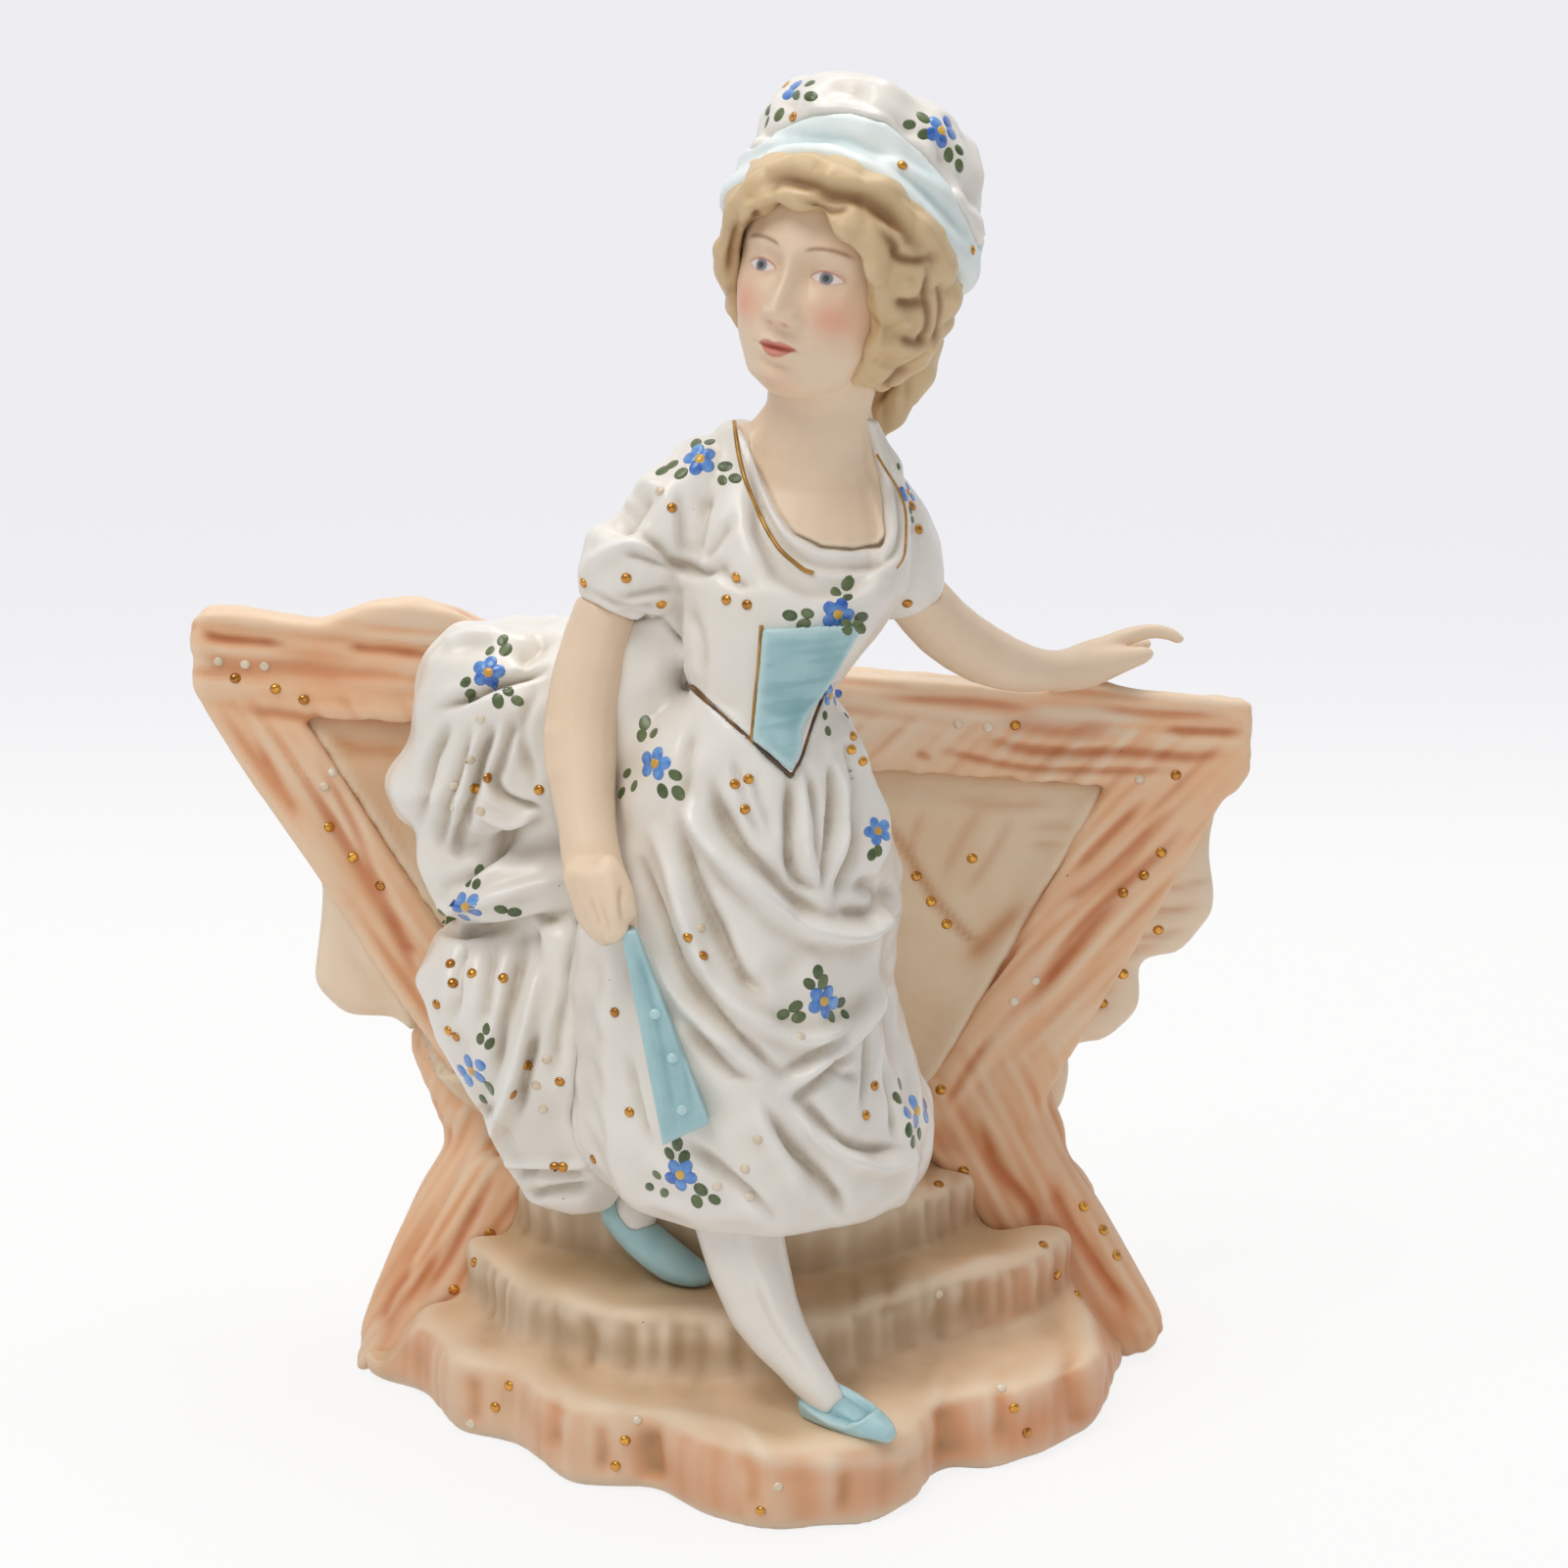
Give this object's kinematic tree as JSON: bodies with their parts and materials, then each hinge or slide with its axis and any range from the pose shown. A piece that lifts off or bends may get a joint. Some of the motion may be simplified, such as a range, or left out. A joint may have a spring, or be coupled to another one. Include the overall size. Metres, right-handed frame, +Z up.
{
  "type": "figural planter",
  "caption": "Tinted bisque planter: a lady in eighteenth century dress comes down stone steps before a V-shaped rustic timber trough that is open above.",
  "frame": {"origin": "on the ground under the middle of the bounding box", "axes": "+Z up; -Y is the front, where the figure faces; +X is the viewer's right"},
  "size_m": [0.153, 0.094, 0.1913],
  "materials": {
    "white_bisque": "matte",
    "flesh_bisque": "matte",
    "hair_bisque": "matte",
    "turquoise_bisque": "matte",
    "timber_bisque": "matte",
    "rock_bisque": "matte",
    "gilding": "gloss",
    "enamel": "gloss"
  },
  "bodies": {
    "root": {"trough": "timber_bisque", "front_rail": "timber_bisque", "left_brace": "timber_bisque", "right_brace": "timber_bisque", "left_strut": "timber_bisque", "right_strut": "timber_bisque", "plinth": "rock_bisque", "overskirt": "white_bisque", "train": "white_bisque", "lower_bustle": "white_bisque", "upper_bustle": "white_bisque", "bodice": "white_bisque", "stomacher": "turquoise_bisque", "fan_sleeve": "white_bisque", "rail_sleeve": "white_bisque", "fan_arm": "flesh_bisque", "rail_arm": "flesh_bisque", "fan": "turquoise_bisque", "head": "flesh_bisque", "hair": "hair_bisque", "ringlet": "hair_bisque", "cap_crown": "white_bisque", "cap_band": "turquoise_bisque", "front_leg": "white_bisque", "front_slipper": "turquoise_bisque", "back_leg": "white_bisque", "back_slipper": "turquoise_bisque"}
  },
  "joints": []
}
